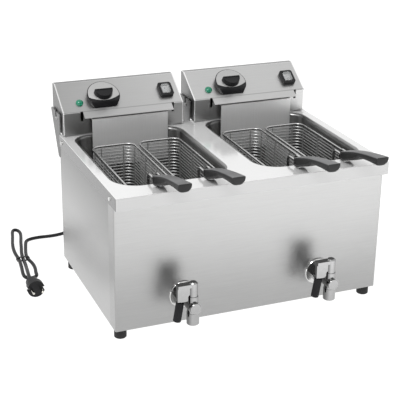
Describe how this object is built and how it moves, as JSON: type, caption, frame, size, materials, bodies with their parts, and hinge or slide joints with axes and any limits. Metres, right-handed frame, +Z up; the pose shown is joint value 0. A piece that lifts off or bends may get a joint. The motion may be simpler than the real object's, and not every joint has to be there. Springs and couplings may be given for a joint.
{
  "type": "deep fryer",
  "caption": "Counter-top stainless deep fryer with twin tanks, lift-off control heads, wire baskets and drain taps.",
  "frame": {"origin": "on the floor plane under the middle of the length from the handle tips to the gland ends", "axes": "+Z up, front with the taps and basket handles towards -Y, +X to the right as seen from the front"},
  "size_m": [0.6963, 0.7138, 0.4094],
  "materials": {
    "polished_steel": "polished",
    "satin_steel": "satin",
    "tank_steel": "satin",
    "rubber": "matte",
    "cord_pvc": "satin",
    "pin_brass": "polished",
    "chrome": "polished",
    "black_plastic": "satin",
    "element_steel": "satin",
    "green_lens": "glossy",
    "clear_silicone": "glossy",
    "basket_wire": "polished",
    "charcoal_plastic": "satin"
  },
  "bodies": {
    "base": {"deck_top": "polished_steel", "front_panel": "satin_steel", "side_panels": "satin_steel", "rear_panel": "satin_steel", "base_plate": "satin_steel", "feet": "rubber", "drain_pipes": "tank_steel", "tap_flanges": "polished_steel", "tap_body_left": "chrome", "tap_body_right": "chrome", "tank_left": "tank_steel", "tank_right": "tank_steel", "head_brackets": "satin_steel", "screws": "polished_steel", "cord_run": "cord_pvc", "cord_hank": "cord_pvc", "cord_tie": "cord_pvc", "plug_body": "cord_pvc", "plug_pins": "pin_brass"},
    "head_left": {"head_shell_left": "satin_steel", "head_back_left": "satin_steel", "guard_plate_left": "satin_steel", "heating_element_left": "element_steel", "thermostat_left": "element_steel", "lamp_left": "green_lens", "switch_frame_left": "black_plastic", "switch_cover_left": "clear_silicone", "cord_gland_left": "black_plastic"},
    "thermostat_knob_left": {"knob_left": "black_plastic"},
    "power_rocker_left": {"rocker_left": "black_plastic"},
    "drain_lever_left": {"tap_ball_left": "chrome", "tap_lever_left": "chrome", "tap_grip_left": "black_plastic"},
    "head_right": {"head_shell_right": "satin_steel", "head_back_right": "satin_steel", "guard_plate_right": "satin_steel", "heating_element_right": "element_steel", "thermostat_right": "element_steel", "lamp_right": "green_lens", "switch_frame_right": "black_plastic", "switch_cover_right": "clear_silicone", "cord_gland_right": "black_plastic"},
    "thermostat_knob_right": {"knob_right": "black_plastic"},
    "power_rocker_right": {"rocker_right": "black_plastic"},
    "drain_lever_right": {"tap_ball_right": "chrome", "tap_lever_right": "chrome", "tap_grip_right": "black_plastic"},
    "basket_1": {"basket_net_1": "basket_wire", "basket_frame_1": "basket_wire", "basket_handle_1": "charcoal_plastic"},
    "basket_2": {"basket_net_2": "basket_wire", "basket_frame_2": "basket_wire", "basket_handle_2": "charcoal_plastic"},
    "basket_3": {"basket_net_3": "basket_wire", "basket_frame_3": "basket_wire", "basket_handle_3": "charcoal_plastic"},
    "basket_4": {"basket_net_4": "basket_wire", "basket_frame_4": "basket_wire", "basket_handle_4": "charcoal_plastic"}
  },
  "joints": [
    {"name": "head_lift_left", "type": "slide", "parent": "base", "child": "head_left", "axis": [0, 0, 1], "range_m": [0, 0.2]},
    {"name": "knob_turn_left", "type": "hinge", "parent": "head_left", "child": "thermostat_knob_left", "pos_m": [-0.189, 0.20454, 0.37887], "axis": [0, -0.5606, 0.8281], "range_deg": [-270, 0]},
    {"name": "rocker_tip_left", "type": "hinge", "parent": "head_left", "child": "power_rocker_left", "pos_m": [-0.045, 0.2079, 0.37873], "axis": [1, 0, 0], "range_deg": [-18, 0]},
    {"name": "drain_turn_left", "type": "hinge", "parent": "base", "child": "drain_lever_left", "pos_m": [-0.149, -0.23064, 0.081], "axis": [0, 0, 1], "range_deg": [0, 90]},
    {"name": "head_lift_right", "type": "slide", "parent": "base", "child": "head_right", "axis": [0, 0, 1], "range_m": [0, 0.2]},
    {"name": "knob_turn_right", "type": "hinge", "parent": "head_right", "child": "thermostat_knob_right", "pos_m": [0.109, 0.20454, 0.37887], "axis": [0, -0.5606, 0.8281], "range_deg": [-270, 0]},
    {"name": "rocker_tip_right", "type": "hinge", "parent": "head_right", "child": "power_rocker_right", "pos_m": [0.253, 0.2079, 0.37873], "axis": [1, 0, 0], "range_deg": [-18, 0]},
    {"name": "drain_turn_right", "type": "hinge", "parent": "base", "child": "drain_lever_right", "pos_m": [0.149, -0.23064, 0.081], "axis": [0, 0, 1], "range_deg": [0, 90]},
    {"name": "basket_lift_1", "type": "slide", "parent": "head_left", "child": "basket_1", "axis": [0, 0, 1], "range_m": [0, 0.2]},
    {"name": "basket_lift_2", "type": "slide", "parent": "head_left", "child": "basket_2", "axis": [0, 0, 1], "range_m": [0, 0.2]},
    {"name": "basket_lift_3", "type": "slide", "parent": "head_right", "child": "basket_3", "axis": [0, 0, 1], "range_m": [0, 0.2]},
    {"name": "basket_lift_4", "type": "slide", "parent": "head_right", "child": "basket_4", "axis": [0, 0, 1], "range_m": [0, 0.2]}
  ]
}
